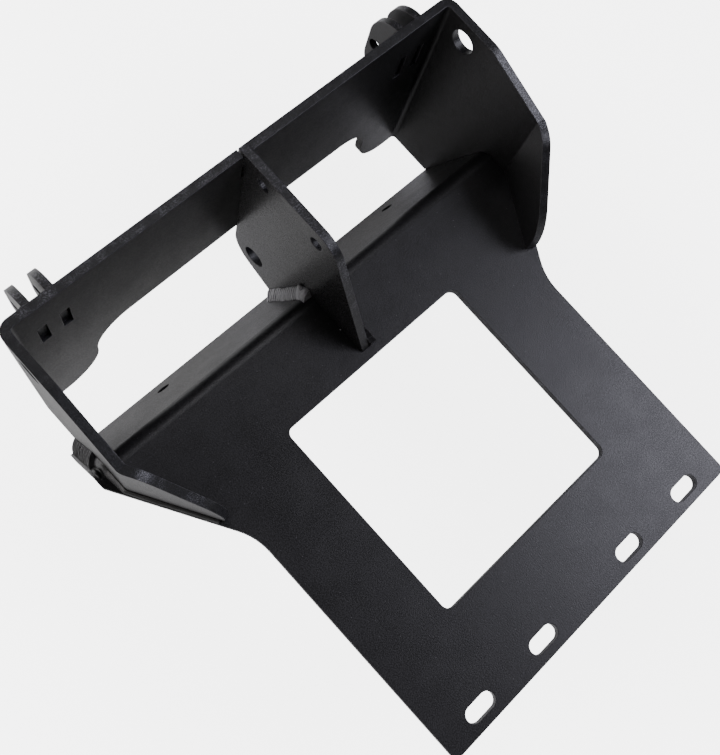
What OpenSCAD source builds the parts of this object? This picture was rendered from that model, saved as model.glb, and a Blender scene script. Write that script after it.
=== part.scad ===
/* [Sheet] */
// Thickness of the base plate, the bracket and the gusset
plate_t = 6.35; // [4.7:0.05:8]
// Inside radius of the upright bends in the wrap-around bracket
fold_r = 3; // [2:0.5:6]

/* [Base plate] */
// Width of the rear, parallel-sided part of the base plate
rear_w = 285; // [250:1:320]
// Width of the front shoulders, which stand out past the bracket's arms
shoulder_w = 390.4; // [384:0.2:400]
// Distance from the slot line back to the rear edge
rear_edge = 12.2; // [11:0.1:20]
// Radius of the two rear corners and of the corners at the shoulders
plate_corner_r = 4.8; // [2:0.2:8]
// Distance from the slot line to where each side starts to flare
flare_y = 180.8; // [160:0.2:190]
// Angle of the flared sides, away from straight ahead
flare_a = 30.4; // [28:0.1:33]
// Radius that blends each straight side into its flare
flare_r = 47.5; // [20:0.5:50]
// Width of the square window
window_w = 163.3; // [120:0.1:180]
// Length of the square window, front to rear
window_l = 162; // [120:0.5:170]
// Distance from the slot line to the window's rear side
window_y = 58.4; // [45:0.1:65]
// Corner radius of the window
window_r = 6; // [3:0.5:20]
// Width of each slot
slot_w = 11.8; // [8.5:0.1:13]
// End-to-end length of each slot
slot_l = 24.3; // [18:0.1:28]
// Distance between the centres of the inner two slots
inner_slots = 90.8; // [70:0.1:110]
// Distance between the centres of the outer two slots
outer_slots = 215.6; // [180:0.1:230]

/* [Front flange] */
// Distance from the slot line to where the flange's plane meets the plate's
bend_y = 283.4; // [280:0.1:290]
// Angle through which the flange is bent down
bend_a = 68.5; // [60:0.5:75]
// Outside radius of that bend
bend_r = 12.7; // [10:0.1:14]
// Length of the flange down its outer face, from the bend's apex
flange_l = 95.8; // [85:0.1:97]
// Diameter of the small holes, the same in every piece
small_hole_d = 10.3; // [8:0.1:11]
// Distance between the two holes in the flange
flange_holes = 231; // [200:1:260]
// Distance of those holes down the flange from the bend's apex
flange_hole_l = 68.8; // [60:0.1:75]

/* [Wrap-around bracket] */
// Outside width over the two arms
bracket_w = 370; // [360:0.5:374]
// Distance from the slot line to the bracket's front face
front_y = 366; // [355:0.5:375]
// Height of the bracket's top edge above the base plate
bracket_top = 91.1; // [85:0.1:100]
// Depth of the bracket's feet below the base plate's upper face
bracket_foot = 91.2; // [90:0.1:95]
// Distance from the slot line to the kink in each arm's top edge
kink_y = 315.6; // [305:0.2:320]
// Distance from the slot line to the fold where each arm turns inward
fold_y = 261.7; // [255:0.1:265]
// Angle by which the rear of each arm turns inward
fold_a = 30; // [27:0.5:30]
// Radius that eases the kink
kink_r = 20; // [5:1:30]
// Height of the arm's top edge at that fold
fold_top = 73.2; // [66:0.2:80]
// Length of the turned-in rear of each arm
wing_l = 64.8; // [55:0.2:66]
// Length of the level top edge behind the fold, to where it starts to fall
wing_flat = 12.8; // [10:0.2:16]
// Slope of the wing's falling edge
wing_a = 42; // [36:0.5:44]
// Radius where the wing's level edge turns down
wing_top_r = 19; // [8:0.5:25]
// Radius of the wing's rounded rear corner
wing_end_r = 46; // [30:0.5:46]
// Half of the clear width between the bracket's two feet
foot_x = 132; // [120:0.5:138]
// Height of the arch between the feet, at its middle, below the plate's face
arch_z = 18.9; // [12:0.1:25]
// How much lower the arch lies at its ends
arch_fall = 3.4; // [0:0.1:6]
// Radius in the arch's upper corners
arch_r = 31.8; // [20:0.1:33]
// Radius on the inner corner of each foot
foot_r = 34.6; // [20:0.1:35]
// Diameter of the pin hole in each arm
arm_hole_d = 19; // [16:0.1:20]
// Distance from the slot line to that pin hole
arm_hole_y = 338.8; // [332:0.1:342]
// Height of that pin hole
arm_hole_z = 73.6; // [68:0.1:76]

/* [Centre gusset] */
// Distance from the slot line to the gusset's rear tip
gusset_tip_y = 227.2; // [224:0.1:240]
// Angle of the gusset's rear edge above the base plate
gusset_a = 60.6; // [55:0.1:64]
// Radius at the gusset's upper rear corner
gusset_top_r = 23; // [10:0.5:26]
// Height at which the gusset's lower edge would meet the front plate
gusset_low_z = 52.5; // [48:0.1:56]
// Radius at the gusset's lower front corner
gusset_low_r = 26.5; // [15:0.5:30]
// Width of the notch that the gusset's tongue fills
notch_w = 8.2; // [7.8:0.1:10]
// Gap beside and under the tongue in that notch, on its close side
notch_gap = 0.2; // [0.1:0.05:0.6]
// Depth of that notch below the bracket's top edge
notch_h = 30; // [20:0.5:40]
// Distance from the slot line to the gusset's upper rear hole
rear_hole_y = 291.4; // [288:0.1:300]
// Distance from the slot line to the gusset's upper front hole
front_hole_y = 341.9; // [330:0.1:348]
// Height of the gusset's two upper holes
upper_hole_z = 77.6; // [70:0.1:80]
// Diameter of the gusset's lower hole
low_hole_d = 18.6; // [14:0.1:20]
// Distance from the slot line to the gusset's lower hole
low_hole_y = 338.3; // [334:0.1:344]
// Height of the gusset's lower hole
low_hole_z = -39.8; // [-44:0.1:-30]

/* [Clevis ears] */
// Thickness of each ear
ear_t = 5.6; // [4:0.1:6.4]
// Distance from the middle of the bracket to the middle of each clevis
clevis_x = 153.4; // [130:0.1:158]
// Distance between the centres of the two ears of a clevis
ear_pitch = 16.6; // [14:0.1:18]
// How far each ear stands out from the bracket's front face
ear_reach = 24.8; // [22:0.1:30]
// Height of each ear
ear_h = 67.8; // [60:0.1:74]
// Height of the ears' middle above the base plate
ear_z = 47.3; // [42:0.1:50]
// Radius of the ears' outer corners
ear_r = 22.6; // [12:0.1:24]
// Distance of the pin hole from the bracket's front face
ear_hole_y = 17.3; // [16:0.1:20]
// Length of the tab that enters the bracket's slot
tab_l = 23.8; // [18:0.1:30]
// How far the tab stops short of the bracket's inner face
tab_recess = 2.4; // [0.5:0.1:4]
// Gap round the tab in its slot, on each side
tab_gap = 0.7; // [0.1:0.05:0.8]

/* [Weld beads] */
// Leg of the beads between the arms and the flange
arm_bead = 8.6; // [6:0.1:9.5]
// Leg of the beads that go on round the bend
bend_bead = 4.5; // [3.5:0.1:6]
// Leg of the beads between the turned-in wings and the base plate
wing_bead = 2.8; // [1.5:0.1:2.9]
// Leg of the beads at the gusset's foot
gusset_bead = 7.4; // [5:0.1:9]
// How far round the bend the gusset's beads reach, as an angle
gusset_bead_turn = 40; // [10:1:60]
// Length of the bead beside the gusset's tip
tip_bead_l = 46; // [30:1:46]
// Leg of the beads at the ears
ear_bead = 5.5; // [2:0.1:6]
// Length of the beads at the ears
ear_bead_l = 60; // [20:1:66]
// Length of one ripple in a bead
ripple_l = 4.2; // [3:0.1:8]
// How far each ripple stands over the next
ripple_h = 0.4; // [0.1:0.05:0.8]
// Length left bare at the end of a bead
bead_end = 1.5; // [1:0.5:10]

/* [Hidden] */
$fn = 64;

black = [0.07, 0.07, 0.08];
bead_black = [0.11, 0.11, 0.12];

// Half widths, and the faces of the arms and the front plate
rear_x = rear_w / 2;
shoulder_x = shoulder_w / 2;
arm_out = bracket_w / 2;
arm_in = arm_out - plate_t;
front_in = front_y - plate_t;
front_mid = front_y - plate_t / 2;
gusset_x = plate_t / 2;

// Where the fold's corner lies on the arm's outer face, and the way the wing runs
fold_out_y = fold_y - plate_t * tan(fold_a / 2);
wing_dir = 270 - fold_a;

// Where the flare reaches the shoulder, and where the flat sheet ends
shoulder_y = flare_y + (shoulder_x - rear_x) / tan(flare_a);
bend_tangent = bend_r * tan(bend_a / 2);
bend_start = bend_y - bend_tangent;

// Where the gusset's upper rear corner would be if sharp, and how far down the flange it reaches
gusset_top_y = gusset_tip_y + bracket_top / tan(gusset_a);
gusset_foot_l = (front_in - bend_y) * cos(bend_a) + gusset_low_z * sin(bend_a);

// Middles of the four ears, and a length that passes right through the part
ear_inner_x = clevis_x - ear_pitch / 2;
ear_outer_x = clevis_x + ear_pitch / 2;
past = 2 * (front_y + ear_reach);

// Angle left open where a bead that goes round the bend meets the straight ones
seam_a = 0.5;

// Unit vector at an angle, a point moved along one, and the unit vector from one point to another
function unit(a) = [cos(a), sin(a)];
function moved(p, a, d) = p + d * unit(a);
function toward(p, q) = (q - p) / norm(q - p);

// Half the angle between two unit vectors
function half_angle(u, v) = acos(u * v) / 2;

// Sector of the circle that rounds the corner p, whose edges leave along the unit vectors u and v
module sector(p, u, v, r) {
    half = half_angle(u, v);
    middle = (u + v) / norm(u + v);
    centre = p + middle * r / sin(half);
    tangent = r / tan(half);
    translate(centre) intersection() {
        circle(r);
        polygon(2 * [[0, 0], p + u * tangent - centre, -middle * r, p + v * tangent - centre]);
    }
}

// Outline through corners written [x, y, radius], counterclockwise, where each radius is a true arc
module outline(corners) {
    n = len(corners);
    points = [for (c = corners) [c.x, c.y]];
    radii = [for (c = corners) c.z];
    back = [for (i = [0:n - 1]) toward(points[i], points[(i + n - 1) % n])];
    ahead = [for (i = [0:n - 1]) toward(points[i], points[(i + 1) % n])];
    cuts = [for (i = [0:n - 1]) radii[i] / tan(half_angle(back[i], ahead[i]))];
    hollow = [for (i = [0:n - 1]) cross(ahead[i], back[i]) < 0];
    difference() {
        union() {
            polygon([for (i = [0:n - 1]) each radii[i] == 0 ? [points[i]]
                : [points[i] + cuts[i] * back[i], points[i] + cuts[i] * ahead[i]]]);
            for (i = [0:n - 1])
                if (radii[i] > 0 && !hollow[i]) sector(points[i], back[i], ahead[i], radii[i]);
        }
        for (i = [0:n - 1])
            if (radii[i] > 0 && hollow[i]) sector(points[i], back[i], ahead[i], radii[i]);
    }
}

// Stands a profile drawn as (y, z) upright and extrudes it along X, centred on x
module along_x(x, width) {
    translate([x - width / 2, 0, 0]) rotate([90, 0, 90]) linear_extrude(width) children();
}

// A round hole through the sheet, along X
module hole_x(x, y, z, d) {
    translate([x - plate_t, y, z]) rotate([0, 90, 0]) cylinder(h = 2 * plate_t, d = d);
}

module both_sides() {
    children();
    mirror([1, 0, 0]) children();
}

// Moves to the flange's outer face: X stays, Y runs down the flange, Z stands out of it
module on_flange() {
    translate([0, bend_y, 0]) rotate([-bend_a, 0, 0]) children();
}

// Slot with round ends, its length along X
module slot() {
    straight = slot_l - slot_w;
    for (side = [-1, 1])
        translate([side * straight / 2, 0, -2 * plate_t]) cylinder(h = 3 * plate_t, d = slot_w);
    translate([-straight / 2, -slot_w / 2, -2 * plate_t]) cube([straight, slot_w, 3 * plate_t]);
}

// Plan of the base plate, right half, before its front end is bent down
module plate_half_plan() {
    outline([[0, -rear_edge, 0], [rear_x, -rear_edge, plate_corner_r], [rear_x, flare_y, flare_r],
        [shoulder_x, shoulder_y, plate_corner_r], [shoulder_x, past, 0], [0, past, 0]]);
}

module window_plan() {
    x = window_w / 2;
    far_y = window_y + window_l;
    outline([[-x, window_y, window_r], [x, window_y, window_r], [x, far_y, window_r], [-x, far_y, window_r]]);
}

// The base plate's bent sheet, seen from the side
module sheet_side() {
    apex = [bend_y, 0];
    inner_apex = [bend_y - plate_t * tan(bend_a / 2), -plate_t];
    end = moved(apex, -bend_a, flange_l);
    inner_end = moved(end, -bend_a - 90, plate_t);
    rear = -rear_edge - plate_t;
    outline([[rear, 0, 0], [rear, -plate_t, 0], [each inner_apex, bend_r - plate_t],
        [each inner_end, 0], [each end, 0], [each apex, bend_r]]);
}

module base_plate() {
    color(black) difference() {
        intersection() {
            along_x(0, shoulder_w + plate_t) sheet_side();
            translate([0, 0, -past]) linear_extrude(past + plate_t) {
                plate_half_plan();
                mirror([1, 0]) plate_half_plan();
            }
        }
        translate([0, 0, -2 * plate_t]) linear_extrude(3 * plate_t) window_plan();
        for (spacing = [inner_slots, outer_slots], side = [-1, 1])
            translate([side * spacing / 2, 0, 0]) slot();
        for (side = [-1, 1])
            on_flange() translate([side * flange_holes / 2, flange_hole_l, -2 * plate_t])
                cylinder(h = 3 * plate_t, d = small_hole_d);
    }
}

// Everything below the base plate's upper face and behind the flange's outer face, from the side
module under_sheet() {
    apex = [bend_y, 0];
    low = moved(apex, -bend_a, past);
    outline([[-past, 0, 0], [-past, low.y, 0], [each low, 0], [each apex, bend_r]]);
}

// Plan of the bracket's sheet, right half
module bracket_half_plan() {
    fold_in = [arm_in, fold_y];
    tip_in = moved(fold_in, wing_dir, wing_l);
    tip_out = moved(tip_in, wing_dir + 90, plate_t);
    outer_r = fold_r + plate_t;
    outline([[0, front_in, 0], [arm_in, front_in, fold_r], [each fold_in, fold_r],
        [each tip_in, 0], [each tip_out, 0], [arm_out, fold_out_y, outer_r],
        [arm_out, front_y, outer_r], [0, front_y, 0]]);
}

// Side view of the arms and the front plate, back to the fold; the feet end at front_side()
module arm_side() {
    low_z = -bracket_foot - plate_t;
    far_y = front_y + plate_t;
    outline([[fold_y, low_z, 0], [far_y, low_z, 0], [far_y, bracket_top, 0],
        [kink_y, bracket_top, kink_r], [fold_y, fold_top, 0]]);
}

// Outline of a wing along its own length, from just ahead of the fold
module wing_side() {
    low_z = fold_top - (wing_l - wing_flat) * tan(wing_a);
    outline([[-plate_t, -plate_t, 0], [wing_l + plate_t, -plate_t, 0], [wing_l + plate_t, 0, 0],
        [wing_l, 0, 0], [wing_l, low_z, wing_end_r], [wing_flat, fold_top, wing_top_r],
        [-plate_t, fold_top, 0]]);
}

// Front view of the bracket: two feet, the arch between them and the gusset's notch
module front_side() {
    x = arm_out + plate_t;
    high_z = bracket_top + plate_t;
    arch_end = -arch_z - arch_fall;
    notch_right = gusset_x + notch_gap;
    notch_left = notch_right - notch_w;
    outline([[-x, -bracket_foot, 0], [-foot_x, -bracket_foot, foot_r], [-foot_x, arch_end, arch_r],
        [0, -arch_z, 0], [foot_x, arch_end, arch_r], [foot_x, -bracket_foot, foot_r],
        [x, -bracket_foot, 0], [x, high_z, 0], [notch_right, high_z, 0],
        [notch_right, bracket_top - notch_h, 0], [notch_left, bracket_top - notch_h, 0],
        [notch_left, high_z, 0], [-x, high_z, 0]]);
}

module wrap_bracket() {
    color(black) difference() {
        intersection() {
            translate([0, 0, -past]) linear_extrude(2 * past) {
                bracket_half_plan();
                mirror([1, 0]) bracket_half_plan();
            }
            translate([0, past, 0]) rotate([90, 0, 0]) linear_extrude(past) front_side();
            union() {
                along_x(0, bracket_w + plate_t) arm_side();
                both_sides() translate([arm_in, fold_y, 0]) rotate([90, 0, wing_dir])
                    linear_extrude(4 * plate_t, center = true) wing_side();
            }
        }
        along_x(0, bracket_w + plate_t) under_sheet();
        both_sides() hole_x(arm_out, arm_hole_y, arm_hole_z, arm_hole_d);
        for (side = [-1, 1], x = [ear_inner_x, ear_outer_x])
            translate([side * x, front_mid, ear_z])
                cube([ear_t + 2 * tab_gap, 2 * plate_t, tab_l + 2 * tab_gap], center = true);
    }
}

// Side view of the gusset, with its tongue in the front plate's notch
module gusset_side() {
    tongue_z = bracket_top - notch_h + notch_gap;
    low = [front_in, -gusset_low_z];
    rear_low = moved(low, 270 - bend_a, front_y - bend_y);
    tip_drop = plate_t / tan(gusset_a);
    outline([[gusset_tip_y - tip_drop, -plate_t, 0], [each rear_low, 0], [each low, gusset_low_r],
        [front_in, tongue_z, 0], [front_y, tongue_z, 0], [front_y, bracket_top, 0],
        [gusset_top_y, bracket_top, gusset_top_r]]);
}

module centre_gusset() {
    color(black) difference() {
        along_x(0, plate_t) gusset_side();
        along_x(0, 2 * plate_t) under_sheet();
        hole_x(0, rear_hole_y, upper_hole_z, small_hole_d);
        hole_x(0, front_hole_y, upper_hole_z, small_hole_d);
        hole_x(0, low_hole_y, low_hole_z, low_hole_d);
    }
}

// One ear, with the tab that enters the bracket's slot
module ear(x) {
    reach_y = front_y + ear_reach;
    tab_y = front_in + tab_recess;
    low_z = ear_z - ear_h / 2;
    high_z = ear_z + ear_h / 2;
    tab_low = ear_z - tab_l / 2;
    tab_high = ear_z + tab_l / 2;
    color(black) difference() {
        along_x(x, ear_t) outline([[front_y, low_z, 0], [reach_y, low_z, ear_r], [reach_y, high_z, ear_r],
            [front_y, high_z, 0], [front_y, tab_high, 0], [tab_y, tab_high, 0], [tab_y, tab_low, 0],
            [front_y, tab_low, 0]]);
        hole_x(x, front_y + ear_hole_y, ear_z, small_hole_d);
    }
}

module ear_outer_left() { ear(-ear_outer_x); }
module ear_inner_left() { ear(-ear_inner_x); }
module ear_inner_right() { ear(ear_inner_x); }
module ear_outer_right() { ear(ear_outer_x); }

// How far a bead's round face has its centre behind the corner, and that face's radius
function bead_set(leg) = leg * 0.6;
function bead_radius(leg, set) = norm([leg + set, set]);

// Bead up the Z axis in the corner between the planes x = 0 and y = 0; its leg may change on the way
module bead(leg, length, end_leg, ripples) {
    set = bead_set(leg);
    start_r = bead_radius(leg, set);
    end_r = bead_radius(end_leg, set);
    fall = ripples > 1 ? ripple_h : 0;
    side = [for (i = [0:ripples - 1]) let (r = start_r + (end_r - start_r) * i / ripples)
        each [[r - fall, i * length / ripples], [r + (end_r - start_r) / ripples, (i + 1) * length / ripples]]];
    intersection() {
        translate([-set, -set, 0]) rotate_extrude() polygon([[0, 0], each side, [0, length]]);
        cube([2 * leg, 2 * leg, length]);
    }
}

module rippled_bead(leg, length) { bead(leg, length, leg, round(length / ripple_l)); }

// Bead that goes on from the flange round the bend, through an angle, at a face that looks along +X
module round_bead(x, leg, turn) {
    set = bead_set(leg);
    translate([x, bend_start, -bend_r]) rotate([0, 90, 0]) rotate(180 - bend_a + seam_a)
        rotate_extrude(angle = turn - 2 * seam_a) intersection() {
            translate([bend_r, 0]) square(2 * leg);
            translate([bend_r - set, -set]) circle(bead_radius(leg, set));
        }
}

// Beads outside the right arm: down the flange, round the bend, along the plate and the wing
module arm_beads() {
    mitre = wing_bead * tan(fold_a / 2);
    plate_run = bend_start - fold_out_y + mitre;
    wing_run = wing_l - bead_end + mitre;
    color(bead_black) {
        on_flange() translate([arm_out, flange_l - bead_end, 0]) rotate([90, 0, 0])
            rippled_bead(arm_bead, flange_l - bead_end - bend_tangent);
        round_bead(arm_out, bend_bead, bend_a);
        translate([arm_out, bend_start, 0]) rotate([90, 0, 0]) bead(bend_bead, plate_run, wing_bead, 1);
        translate([arm_out, fold_out_y, 0]) rotate([90, 0, -fold_a]) translate([0, 0, -mitre])
            bead(wing_bead, wing_run, wing_bead, 1);
    }
}

module arm_beads_right() { arm_beads(); }
module arm_beads_left() { mirror([1, 0, 0]) arm_beads(); }

module gusset_beads() {
    color(bead_black) {
        both_sides() {
            on_flange() translate([gusset_x, gusset_foot_l, 0]) rotate([90, 0, 0])
                rippled_bead(gusset_bead, gusset_foot_l - bend_tangent);
            round_bead(gusset_x, gusset_bead, gusset_bead_turn);
        }
        translate([gusset_x, gusset_tip_y + tip_bead_l, 0]) rotate([90, 0, 0])
            rippled_bead(gusset_bead, tip_bead_l);
    }
}

// Beads on the outer sides of the two ears of each clevis
module ear_beads() {
    low_z = ear_z - ear_bead_l / 2;
    color(bead_black) both_sides() {
        translate([ear_outer_x + ear_t / 2, front_y, low_z]) rippled_bead(ear_bead, ear_bead_l);
        translate([ear_inner_x - ear_t / 2, front_y, low_z]) mirror([1, 0, 0])
            rippled_bead(ear_bead, ear_bead_l);
    }
}

base_plate();
wrap_bracket();
centre_gusset();
ear_outer_left();
ear_inner_left();
ear_inner_right();
ear_outer_right();
arm_beads_left();
arm_beads_right();
gusset_beads();
ear_beads();
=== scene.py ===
import math

import bmesh
import bpy
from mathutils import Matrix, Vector


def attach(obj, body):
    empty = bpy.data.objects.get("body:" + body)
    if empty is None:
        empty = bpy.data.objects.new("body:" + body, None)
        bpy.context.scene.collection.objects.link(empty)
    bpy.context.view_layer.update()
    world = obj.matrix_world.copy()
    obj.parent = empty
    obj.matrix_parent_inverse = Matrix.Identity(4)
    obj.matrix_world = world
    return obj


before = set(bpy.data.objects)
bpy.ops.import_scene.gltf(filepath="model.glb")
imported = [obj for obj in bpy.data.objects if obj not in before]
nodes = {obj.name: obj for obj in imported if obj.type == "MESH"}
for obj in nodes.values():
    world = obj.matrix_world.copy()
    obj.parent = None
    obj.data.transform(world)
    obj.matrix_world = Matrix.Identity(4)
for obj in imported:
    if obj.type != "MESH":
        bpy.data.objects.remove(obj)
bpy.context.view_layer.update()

# Places on the plates that the pieces and materials share, in metres, as the part's drawing has them
bend_y = 0.2834
bend_angle = math.radians(68.5)
bend_start = 0.27475
# Painted glint: where the bend's curve begins to catch light
bend_glint_y = 0.2764
die_mark_y = 0.2665
wing_corner = (-0.1755, 0.2495, 0.0715)
wing_end_y = 0.24
arm_inside = 0.178
arm_kink_y = 0.3136
arm_fold_y = 0.2565
part_middle_y = 0.18

# Powder coat, as linear colours
coat_dark = (0.0105, 0.0102, 0.0103, 1)
coat_light = (0.0195, 0.019, 0.0203, 1)
edge_dark = (0.006, 0.006, 0.0065, 1)
# Painted glint: the pale end of a cut thickness's speckled tone
edge_glint_grey = (0.12, 0.12, 0.135, 1)
# Bead grey: the ripples' spread of tone is the weld's texture, and that it is paler than the sheets' coat is
# a painted reflection of light
bead_dark = (0.02, 0.0195, 0.021, 1)
bead_light = (0.05, 0.049, 0.052, 1)
# Painted light: the gusset's beads and drops wear the same black coat as the sheets, painted pale grey as a
# reflection of the floor's light
painted_lit_bead_dark = (0.21, 0.208, 0.218, 1)
painted_lit_bead_light = (0.34, 0.337, 0.352, 1)
# Pale grey of flecks that are painted glints and highlights, and of the die mark
glint_and_mark_fleck_grey = (0.22, 0.225, 0.25, 1)
speck_grey = (0.075, 0.072, 0.078, 1)
# Painted highlight: the pale grey that edges rounded by the coat are lightened towards
painted_edge_highlight_grey = (0.13, 0.13, 0.145, 1)

# How deep the coat's texture is, in metres, and how far the coat rounds an edge
sheet_texture_depth = 0.0004
drop_texture_depth = 0.0001
coat_edge_radius = 0.0009

# Studio
floor_height = -0.125
floor_size = 6
floor_grey_dark = (0.6, 0.6, 0.6, 1)
floor_grey_light = (0.63, 0.63, 0.63, 1)
floor_white_to_camera = 4.6
wall_white_to_camera = 5
wall_light = 0.035


# Node-tree helpers
def add_node(tree, kind, **settings):
    made = tree.nodes.new(kind)
    for name, value in settings.items():
        setattr(made, name, value)
    return made


def feed(tree, socket, value):
    if isinstance(value, bpy.types.NodeSocket):
        tree.links.new(value, socket)
    else:
        socket.default_value = value


def maths(tree, operation, first, second=0.0, third=None):
    made = add_node(tree, "ShaderNodeMath", operation=operation)
    feed(tree, made.inputs[0], first)
    feed(tree, made.inputs[1], second)
    if third is not None:
        feed(tree, made.inputs[2], third)
    return made.outputs[0]


def choose(tree, share, first, second):
    """The first number where the share is 0, the second where it is 1."""
    return maths(tree, "MULTIPLY_ADD", share, maths(tree, "SUBTRACT", second, first), first)


def remap(tree, value, low, high, new_low=0.0, new_high=1.0):
    """Eases a value from one range into another, and holds it at the new range's ends."""
    made = add_node(tree, "ShaderNodeMapRange", interpolation_type="SMOOTHSTEP")
    feed(tree, made.inputs["Value"], value)
    made.inputs["From Min"].default_value = low
    made.inputs["From Max"].default_value = high
    made.inputs["To Min"].default_value = new_low
    made.inputs["To Max"].default_value = new_high
    return made.outputs["Result"]


def blend_colours(tree, share, first, second):
    """The Mix node's colour sockets share their names with its number sockets, so they go by place."""
    made = add_node(tree, "ShaderNodeMix", data_type="RGBA")
    feed(tree, made.inputs[0], share)
    feed(tree, made.inputs[6], first)
    feed(tree, made.inputs[7], second)
    return made.outputs[2]


def noise(tree, vector, scale, detail=2.0, roughness=0.5):
    made = add_node(tree, "ShaderNodeTexNoise")
    feed(tree, made.inputs["Vector"], vector)
    made.inputs["Scale"].default_value = scale
    made.inputs["Detail"].default_value = detail
    made.inputs["Roughness"].default_value = roughness
    return made.outputs[0]


def object_place(tree):
    return add_node(tree, "ShaderNodeTexCoord").outputs["Object"]


def distance_from(tree, place, point):
    made = add_node(tree, "ShaderNodeVectorMath", operation="DISTANCE")
    feed(tree, made.inputs[0], place)
    feed(tree, made.inputs[1], point)
    return made.outputs["Value"]


def stretched(tree, vector, scale):
    made = add_node(tree, "ShaderNodeMapping")
    feed(tree, made.inputs["Vector"], vector)
    made.inputs["Scale"].default_value = scale
    return made.outputs["Vector"]


def turned_back(tree, vector, turn):
    """Coordinates whose Y axis runs the way that turn sends it."""
    made = add_node(tree, "ShaderNodeMapping", vector_type="TEXTURE")
    feed(tree, made.inputs["Vector"], vector)
    made.inputs["Rotation"].default_value = turn
    return made.outputs["Vector"]


def parts_of(tree, vector):
    made = add_node(tree, "ShaderNodeSeparateXYZ")
    feed(tree, made.inputs[0], vector)
    return made.outputs


def new_group(name, inputs, outputs):
    group = bpy.data.node_groups.new(name, "ShaderNodeTree")
    for label, kind in inputs:
        group.interface.new_socket(label, in_out="INPUT", socket_type=kind)
    for label, kind in outputs:
        group.interface.new_socket(label, in_out="OUTPUT", socket_type=kind)
    start = group.nodes.new("NodeGroupInput")
    end = group.nodes.new("NodeGroupOutput")
    return group, start.outputs, end.inputs


def place_group(tree, group, **values):
    made = add_node(tree, "ShaderNodeGroup", node_tree=group)
    for label, value in values.items():
        feed(tree, made.inputs[label], value)
    return made.outputs


def new_material(name):
    material = bpy.data.materials.new(name)
    material.use_nodes = True
    return material, material.node_tree


# Effects that the materials share
def make_coat_grain():
    """Fine texture of the powder, its slow unevenness, and the few pale specks in it."""
    group, given, made = new_group(
        "coat_grain",
        [("Vector", "NodeSocketVector")],
        [("Height", "NodeSocketFloat"), ("Mottle", "NodeSocketFloat"), ("Speck", "NodeSocketFloat")],
    )
    fine = noise(group, given["Vector"], 1050, 2, 0.65)
    peel = noise(group, given["Vector"], 330)
    group.links.new(maths(group, "MULTIPLY_ADD", peel, 0.12, fine), made["Height"])
    slow = noise(group, given["Vector"], 45)
    powder = maths(group, "MULTIPLY_ADD", slow, 0.2, maths(group, "MULTIPLY", fine, 0.8))
    group.links.new(remap(group, powder, 0.4, 0.6), made["Mottle"])
    dots = add_node(group, "ShaderNodeTexVoronoi", feature="F1")
    feed(group, dots.inputs["Vector"], given["Vector"])
    dots.inputs["Scale"].default_value = 380
    near = remap(group, dots.outputs["Distance"], 0.08, 0.2, 1, 0)
    few = remap(group, parts_of(group, dots.outputs["Color"])[0], 0.88, 0.96)
    group.links.new(maths(group, "MULTIPLY", near, few), made["Speck"])
    return group


def make_cut_marks():
    """Striations left by the cutter across a plate's thickness, under the coat; the tone's pale specks on
    them are painted glints.
    """
    group, given, made = new_group(
        "cut_marks",
        [("Vector", "NodeSocketVector")],
        [("Height", "NodeSocketFloat"), ("Tone", "NodeSocketFloat")],
    )
    lines = noise(group, given["Vector"], 1500, 3, 0.7)
    blotch = noise(group, given["Vector"], 110)
    group.links.new(maths(group, "MULTIPLY_ADD", blotch, 0.5, lines), made["Height"])
    glint = remap(group, lines, 0.48, 0.62)
    patch = remap(group, blotch, 0.36, 0.66, 0.12, 1)
    group.links.new(maths(group, "MULTIPLY", glint, patch), made["Tone"])
    return group


def make_soft_edges():
    """Normals that roll over an edge by the coat's radius, and a mask of where they do."""
    group, _, made = new_group(
        "soft_edges",
        [],
        [("Normal", "NodeSocketVector"), ("Edge", "NodeSocketFloat")],
    )
    rolled = add_node(group, "ShaderNodeBevel", samples=6)
    rolled.inputs["Radius"].default_value = coat_edge_radius
    group.links.new(rolled.outputs["Normal"], made["Normal"])
    flat = add_node(group, "ShaderNodeNewGeometry").outputs["Normal"]
    agreement = add_node(group, "ShaderNodeVectorMath", operation="DOT_PRODUCT")
    feed(group, agreement.inputs[0], rolled.outputs["Normal"])
    feed(group, agreement.inputs[1], flat)
    group.links.new(remap(group, agreement.outputs["Value"], 0.8, 0.995, 1, 0), made["Edge"])
    return group


def make_weld_ripples():
    """Ripples and fine streaks across a bead that runs along the given Y axis, with some grit."""
    group, given, made = new_group(
        "weld_ripples",
        [("Vector", "NodeSocketVector")],
        [("Height", "NodeSocketFloat"), ("Tone", "NodeSocketFloat")],
    )
    waves = add_node(group, "ShaderNodeTexWave", wave_type="BANDS", bands_direction="Y")
    feed(group, waves.inputs["Vector"], given["Vector"])
    waves.inputs["Scale"].default_value = 34
    waves.inputs["Distortion"].default_value = 3.5
    waves.inputs["Detail"].default_value = 2
    waves.inputs["Detail Scale"].default_value = 1.4
    streaks = noise(group, stretched(group, given["Vector"], (0.35, 1, 0.35)), 430, 3, 0.6)
    grit = noise(group, given["Vector"], 500)
    ripples = maths(group, "MULTIPLY", waves.outputs["Fac"], 0.3)
    height = maths(group, "MULTIPLY_ADD", grit, 0.3, ripples)
    group.links.new(maths(group, "MULTIPLY_ADD", streaks, 0.7, height), made["Height"])
    tone = maths(group, "MULTIPLY_ADD", streaks, 0.6, maths(group, "MULTIPLY", grit, 0.4))
    group.links.new(remap(group, tone, 0.36, 0.62), made["Tone"])
    return group


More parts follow.
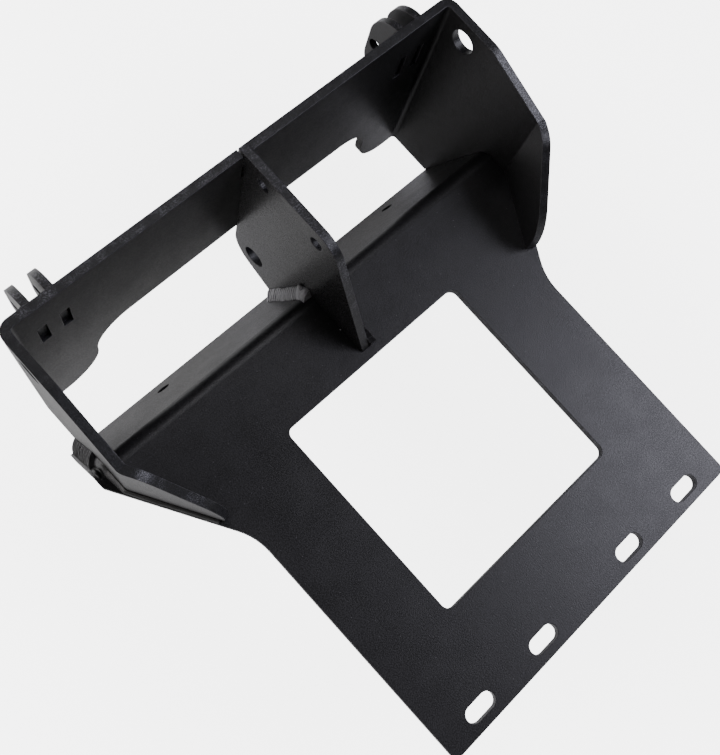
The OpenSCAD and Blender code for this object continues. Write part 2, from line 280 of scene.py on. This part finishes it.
def make_glint_and_mark_flecks():
    """Clustered pale flecks, as strong as the spread says: painted glints and highlights, and the base
    plate's die mark.
    """
    group, given, made = new_group(
        "glint_and_mark_flecks",
        [("Vector", "NodeSocketVector"), ("Spread", "NodeSocketFloat")],
        [("Fleck", "NodeSocketFloat")],
    )
    dots = noise(group, given["Vector"], 1300, 2, 0.6)
    sharp = remap(group, dots, 0.52, 0.6)
    group.links.new(maths(group, "MULTIPLY", sharp, given["Spread"]), made["Fleck"])
    return group


coat_grain = make_coat_grain()
cut_marks = make_cut_marks()
soft_edges = make_soft_edges()
weld_ripples = make_weld_ripples()
glint_and_mark_flecks = make_glint_and_mark_flecks()


# Where each sheet shows its cut thickness, read from the way its surface faces and from its place
def base_plate_cut(tree, facing, place):
    y, z = parts_of(tree, facing)[1:]
    upright = maths(tree, "LESS_THAN", maths(tree, "ABSOLUTE", z), 0.3)
    flange_end = maths(tree, "LESS_THAN", maths(tree, "MULTIPLY", y, z), -0.1)
    return maths(tree, "MAXIMUM", upright, flange_end)


def bracket_cut(tree, facing, place):
    x, y, z = parts_of(tree, facing)
    level = maths(tree, "GREATER_THAN", maths(tree, "ABSOLUTE", z), 0.3)
    behind = maths(tree, "LESS_THAN", parts_of(tree, place)[1], wing_end_y)
    slanted = maths(tree, "GREATER_THAN", maths(tree, "ABSOLUTE", x), 0.3)
    rear = maths(tree, "LESS_THAN", y, -0.75)
    wing_end = maths(tree, "MULTIPLY", maths(tree, "MULTIPLY", rear, slanted), behind)
    return maths(tree, "MAXIMUM", level, wing_end)


def upright_cut(tree, facing, place):
    x = parts_of(tree, facing)[0]
    return maths(tree, "LESS_THAN", maths(tree, "ABSOLUTE", x), 0.5)


# Where a sheet carries pale flecks: painted glints and highlights, and the base plate's die mark
def bend_glint_and_die_mark(tree, facing, place):
    """Two pale lines across the plate: at the start of the bend a painted glint where the curve begins to
    catch light, and just behind it the press brake's die mark.
    """
    y = parts_of(tree, place)[1]
    off_glint_line = maths(tree, "ABSOLUTE", maths(tree, "SUBTRACT", y, bend_glint_y))
    off_mark = maths(tree, "ABSOLUTE", maths(tree, "SUBTRACT", y, die_mark_y))
    line = remap(tree, off_glint_line, 0.0004, 0.0012, 0.08, 0)
    return maths(tree, "ADD", line, remap(tree, off_mark, 0.0003, 0.0008, 0.05, 0))


def wing_corner_painted_glint(tree, place):
    """The left wing's top corner, where its edge turns down: a painted glint."""
    return remap(tree, distance_from(tree, place, wing_corner), 0.0015, 0.0065, 0.7, 0)


def slope_painted_highlight(tree, facing, place):
    """The right arm's sloping top edge, rough and pale from end to end: a painted highlight."""
    x, y = parts_of(tree, place)[:2]
    on_arm = maths(tree, "GREATER_THAN", x, arm_inside)
    upward = maths(tree, "GREATER_THAN", parts_of(tree, facing)[2], 0.7)
    front = remap(tree, y, arm_kink_y - 0.002, arm_kink_y + 0.001, 1, 0)
    rear = remap(tree, y, arm_fold_y - 0.003, arm_fold_y, 0, 1)
    on_edge = maths(tree, "MULTIPLY", on_arm, upward)
    return maths(tree, "MULTIPLY", on_edge, maths(tree, "MULTIPLY", front, rear))


def bracket_painted_glints(tree, facing, place):
    return maths(tree, "MAXIMUM", wing_corner_painted_glint(tree, place), slope_painted_highlight(tree, facing, place))


# How pale the cutter's marks show along a sheet's cut thickness, with painted shade by place on the bracket
def bracket_marks_with_painted_shade(tree, place):
    """Palest on the front plate's left half, faint on its right half, fainter on the left arm: the fading is
    painted shade.
    """
    x = parts_of(tree, place)[0]
    across = remap(tree, x, -0.05, 0.05, 1, 0.4)
    return maths(tree, "MULTIPLY", across, remap(tree, x, -0.18, -0.17, 0.2, 1))


def gusset_marks(tree, place):
    """Palest at the top, faint by the base plate."""
    return remap(tree, parts_of(tree, place)[2], 0.02, 0.075, 0.3, 1)


# Materials
def finish_shader(tree, colour, roughness, height, texture_depth, normal=None):
    shader = tree.nodes["Principled BSDF"]
    feed(tree, shader.inputs["Base Color"], colour)
    feed(tree, shader.inputs["Roughness"], roughness)
    bump = add_node(tree, "ShaderNodeBump")
    bump.inputs["Strength"].default_value = 1.0
    bump.inputs["Distance"].default_value = texture_depth
    feed(tree, bump.inputs["Height"], height)
    if normal:
        feed(tree, bump.inputs["Normal"], normal)
    feed(tree, shader.inputs["Normal"], bump.outputs["Normal"])


def make_sheet_coat(name, cut_rule, mark_stretch, glint_and_mark_rule=None, mark_rule=None, gloss=0.0, grain_depth=0.26):
    """Satin black powder coat on a sheet: grained on its faces, scored and paler on its cut thickness, where
    the pale specks are painted glints.
    """
    material, tree = new_material(name)
    where = add_node(tree, "ShaderNodeTexCoord")
    place = where.outputs["Object"]
    facing = where.outputs["Normal"]
    cut = cut_rule(tree, facing, place)
    grain = place_group(tree, coat_grain, Vector=place)
    marks = place_group(tree, cut_marks, Vector=stretched(tree, place, mark_stretch))
    rolled = place_group(tree, soft_edges)

    face = blend_colours(tree, grain["Mottle"], coat_dark, coat_light)
    # The pale specks on a cut thickness are painted glints
    tone = marks["Tone"]
    # The mark rule dims the tone by place; on the bracket that dimming is painted shade
    if mark_rule:
        tone = maths(tree, "MULTIPLY", tone, mark_rule(tree, place))
    edge = blend_colours(tree, tone, edge_dark, edge_glint_grey)
    colour = blend_colours(tree, cut, face, edge)
    # Painted highlight: where the coat rounds an edge, the colour is lightened towards a pale grey
    edge_highlight_share = maths(tree, "MULTIPLY", rolled["Edge"], 0.3)
    colour = blend_colours(tree, edge_highlight_share, colour, painted_edge_highlight_grey)
    colour = blend_colours(tree, grain["Speck"], colour, speck_grey)
    # Pale flecks where the rule says: painted glints and highlights, and the die mark
    if glint_and_mark_rule:
        fleck_share = place_group(tree, glint_and_mark_flecks, Vector=place, Spread=glint_and_mark_rule(tree, facing, place))
        colour = blend_colours(tree, fleck_share["Fleck"], colour, glint_and_mark_fleck_grey)

    face_rough = remap(tree, grain["Mottle"], 0, 1, 0.33 - gloss, 0.44 - gloss)
    edge_rough = remap(tree, marks["Tone"], 0, 1, 0.37, 0.28)
    rough = choose(tree, cut, face_rough, edge_rough)
    face_height = maths(tree, "MULTIPLY", grain["Height"], grain_depth)
    edge_height = maths(tree, "MULTIPLY_ADD", marks["Height"], 0.4, face_height)
    height = choose(tree, cut, face_height, edge_height)
    finish_shader(tree, colour, rough, height, sheet_texture_depth, rolled["Normal"])
    return material


def make_weld_coat(name, turn, dark, light, dark_until, ripple_depth):
    """Powder coat over weld beads: rippled and matt, but dark and smoother behind the given place along Y."""
    material, tree = new_material(name)
    place = object_place(tree)
    ripples = place_group(tree, weld_ripples, Vector=turned_back(tree, place, turn))
    grain = place_group(tree, coat_grain, Vector=place)
    rolled = place_group(tree, soft_edges)
    on_plate = remap(tree, parts_of(tree, place)[1], dark_until - 0.003, dark_until + 0.003, 1, 0)

    rippled = blend_colours(tree, ripples["Tone"], dark, light)
    colour = blend_colours(tree, on_plate, rippled, coat_dark)
    colour = blend_colours(tree, grain["Speck"], colour, speck_grey)
    matt = remap(tree, ripples["Tone"], 0, 1, 0.44, 0.38)
    rough = maths(tree, "MULTIPLY_ADD", on_plate, -0.04, matt)
    relief = maths(tree, "MULTIPLY_ADD", grain["Height"], 0.2, ripples["Height"])
    height = maths(tree, "MULTIPLY", relief, maths(tree, "MULTIPLY_ADD", on_plate, -0.75, 1))
    finish_shader(tree, colour, rough, height, ripple_depth, rolled["Normal"])
    return material


def make_drop_coat(name, dark, light, roughness):
    """Powder coat over a drop of weld metal, too small for rolled edges."""
    material, tree = new_material(name)
    grain = place_group(tree, coat_grain, Vector=object_place(tree))
    colour = blend_colours(tree, grain["Mottle"], dark, light)
    rough = remap(tree, grain["Mottle"], 0, 1, roughness, roughness + 0.06)
    finish_shader(tree, colour, rough, grain["Height"], drop_texture_depth)
    return material


def dress(names, material):
    for name in names:
        slots = nodes[name].data.materials
        slots.clear()
        slots.append(material)


def dress_sheets():
    plate_coat = make_sheet_coat("base_plate_coat", base_plate_cut, (1, 1, 0.4), bend_glint_and_die_mark)
    bracket_coat = make_sheet_coat("bracket_coat", bracket_cut, (1, 1, 1), bracket_painted_glints, bracket_marks_with_painted_shade)
    gusset_coat = make_sheet_coat(
        "gusset_coat", upright_cut, (0.5, 1, 1), mark_rule=gusset_marks, gloss=0.08, grain_depth=0.13
    )
    ear_coat = make_sheet_coat("ear_coat", upright_cut, (0.5, 1, 1))
    dress(["base_plate"], plate_coat)
    dress(["wrap_bracket"], bracket_coat)
    dress(["centre_gusset"], gusset_coat)
    dress(["ear_outer_left", "ear_inner_left", "ear_inner_right", "ear_outer_right"], ear_coat)


def dress_beads():
    down_flange = (-bend_angle, 0, 0)
    upward = (math.radians(90), 0, 0)
    arm_coat = make_weld_coat("arm_bead_coat", down_flange, bead_dark, bead_light, bend_y, 0.00012)
    # The gusset's beads are painted pale in front of the bend: a painted reflection of light
    gusset_coat = make_weld_coat(
        "gusset_bead_coat", down_flange, painted_lit_bead_dark, painted_lit_bead_light, bend_start - 0.005, 0.0002
    )
    ear_coat = make_weld_coat("ear_bead_coat", upward, coat_dark, bead_dark, 0, 0.0002)
    dress(["arm_beads_left", "arm_beads_right"], arm_coat)
    dress(["gusset_beads"], gusset_coat)
    dress(["ear_beads"], ear_coat)


def add_object(name, mesh, material):
    data = bpy.data.meshes.new(name)
    mesh.to_mesh(data)
    mesh.free()
    data.materials.append(material)
    made = bpy.data.objects.new(name, data)
    bpy.context.scene.collection.objects.link(made)
    return made


# Weld beads and drops
def roughen_beads(name, lump_size, swell_depth):
    """Gives a bead the uneven swell of a hand-laid weld; its loose triangles are joined first."""
    joined = nodes[name].modifiers.new("joined", "WELD")
    joined.merge_threshold = 0.00002
    finer = nodes[name].modifiers.new("finer", "SUBSURF")
    finer.subdivision_type = "SIMPLE"
    finer.levels = 2
    finer.render_levels = 2
    swell = nodes[name].modifiers.new("swell", "DISPLACE")
    lumps = bpy.data.textures.new(name + "_lumps", "CLOUDS")
    lumps.noise_scale = lump_size
    lumps.noise_depth = 1
    swell.texture = lumps
    swell.texture_coords = "LOCAL"
    swell.strength = swell_depth
    swell.mid_level = 0.5


def make_weld_drop(name, centre, radii, coat):
    """A bead of spatter, or the blob where a weld stops, sunk partly into what carries it."""
    mesh = bmesh.new()
    bmesh.ops.create_icosphere(mesh, subdivisions=3, radius=1)
    for corner in mesh.verts:
        flow = math.sin(3 * corner.co.x + 2 * corner.co.y) * math.cos(2.5 * corner.co.z)
        corner.co *= 1 + 0.06 * flow
    bmesh.ops.scale(mesh, verts=mesh.verts, vec=radii)
    bmesh.ops.translate(mesh, verts=mesh.verts, vec=centre)
    for face in mesh.faces:
        face.smooth = True
    drop = add_object(name, mesh, coat)
    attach(drop, "root")


def make_weld_drops():
    # The gusset's knob and spatter take the painted pale grey of the gusset's beads
    painted_lit_coat = make_drop_coat("painted_lit_drop_coat", painted_lit_bead_dark, painted_lit_bead_light, 0.4)
    dark_coat = make_drop_coat("dark_drop_coat", coat_dark, coat_light, 0.34)
    make_weld_drop("gusset_bead_knob", (-0.0043, 0.2906, -0.0024), (0.0021, 0.0032, 0.0031), painted_lit_coat)
    make_weld_drop("gusset_spatter_front", (-0.0072, 0.2836, 0.0008), (0.0008, 0.0008, 0.0008), painted_lit_coat)
    make_weld_drop("gusset_spatter_rear", (-0.0042, 0.2496, 0.0001), (0.0006, 0.0006, 0.0006), painted_lit_coat)
    make_weld_drop("left_bend_blob", (-0.1919, 0.2795, -0.0028), (0.0022, 0.0048, 0.0036), dark_coat)


# Studio
def make_floor_white():
    """White to the camera, with a soft glow round the part that is strongest on its left; under the part the
    glow is held off as a painted shadow.
    """
    material, tree = new_material("studio_floor_white")
    shader = tree.nodes["Principled BSDF"]
    place = object_place(tree)
    colour = blend_colours(tree, noise(tree, place, 3), floor_grey_dark, floor_grey_light)
    feed(tree, shader.inputs["Base Color"], colour)
    shader.inputs["Roughness"].default_value = 0.9
    shader.inputs["Emission Color"].default_value = (1, 1, 1, 1)
    seen = add_node(tree, "ShaderNodeLightPath").outputs["Is Camera Ray"]
    # Painted shadow: the floor's glow is off under the part and rises away from it
    away = distance_from(tree, place, (0, part_middle_y, floor_height))
    glow_outside_painted_shadow = remap(tree, away, 0.2, 0.45, 0, 0.6)
    to_left = remap(tree, parts_of(tree, place)[0], -0.1, 0.1, 0.4, 0.08)
    glow = maths(tree, "ADD", glow_outside_painted_shadow, to_left)
    strength = maths(tree, "MULTIPLY_ADD", seen, floor_white_to_camera, glow)
    feed(tree, shader.inputs["Emission Strength"], strength)
    return material


def make_floor():
    """Plain pale floor, well below the part, which hangs by its slotted mount."""
    mesh = bmesh.new()
    bmesh.ops.create_grid(mesh, x_segments=1, y_segments=1, size=floor_size)
    bmesh.ops.translate(mesh, verts=mesh.verts, vec=(0, 0, floor_height))
    floor = add_object("studio_floor", mesh, make_floor_white())


def make_world():
    """Pale studio walls to the camera, which add only a little even light."""
    world = bpy.data.worlds.new("studio")
    bpy.context.scene.world = world
    world.use_nodes = True
    tree = world.node_tree
    background = tree.nodes["Background"]
    background.inputs["Color"].default_value = (1, 1, 1, 1)
    seen = add_node(tree, "ShaderNodeLightPath").outputs["Is Camera Ray"]
    strength = maths(tree, "MULTIPLY_ADD", seen, wall_white_to_camera, wall_light)
    feed(tree, background.inputs["Strength"], strength)


def make_softbox(name, position, target, size, power, colour):
    light = bpy.data.lights.new(name, "AREA")
    light.shape = "SQUARE"
    light.size = size
    light.energy = power
    light.color = colour
    lamp = bpy.data.objects.new(name, light)
    lamp.location = position
    lamp.rotation_euler = (Vector(target) - Vector(position)).to_track_quat("-Z", "Y").to_euler()
    bpy.context.scene.collection.objects.link(lamp)


def make_lights():
    make_softbox("key_softbox", (1.33, -0.55, 1.8), (0, 0.15, 0), 1.15, 33, (0.875, 0.87, 1))
    make_softbox("front_softbox", (-0.7, 2.1, 0.45), (0, 0.3, 0), 1.0, 15, (1, 0.97, 0.98))
    make_softbox("top_softbox", (0.35, 1.2, 1.85), (0, 0.35, 0.09), 0.6, 5, (0.97, 0.95, 1))
    make_softbox("left_softbox", (-1.8, 0.35, 0.75), (0, 0.3, 0), 1.0, 11, (1, 0.96, 0.97))


def make_camera():
    """Stands where the photograph was taken from."""
    view = bpy.data.cameras.new("product_camera")
    view.sensor_fit = "HORIZONTAL"
    view.sensor_width = 36
    view.lens = 47.30179
    view.shift_x = -0.0202958
    view.shift_y = -0.0090115
    view.clip_start = 0.01
    view.clip_end = 50
    camera = bpy.data.objects.new("product_camera", view)
    camera.location = (-0.2076098, 0.1737789, 0.6300871)
    camera.rotation_euler = (0.25260986, -0.18961643, -0.75350219)
    bpy.context.scene.collection.objects.link(camera)
    bpy.context.scene.camera = camera


make_camera()
dress_sheets()
dress_beads()
for bead in ["arm_beads_left", "arm_beads_right", "ear_beads"]:
    roughen_beads(bead, lump_size=0.006, swell_depth=0.0006)
roughen_beads("gusset_beads", lump_size=0.007, swell_depth=0.001)
make_weld_drops()
make_floor()
make_world()
make_lights()
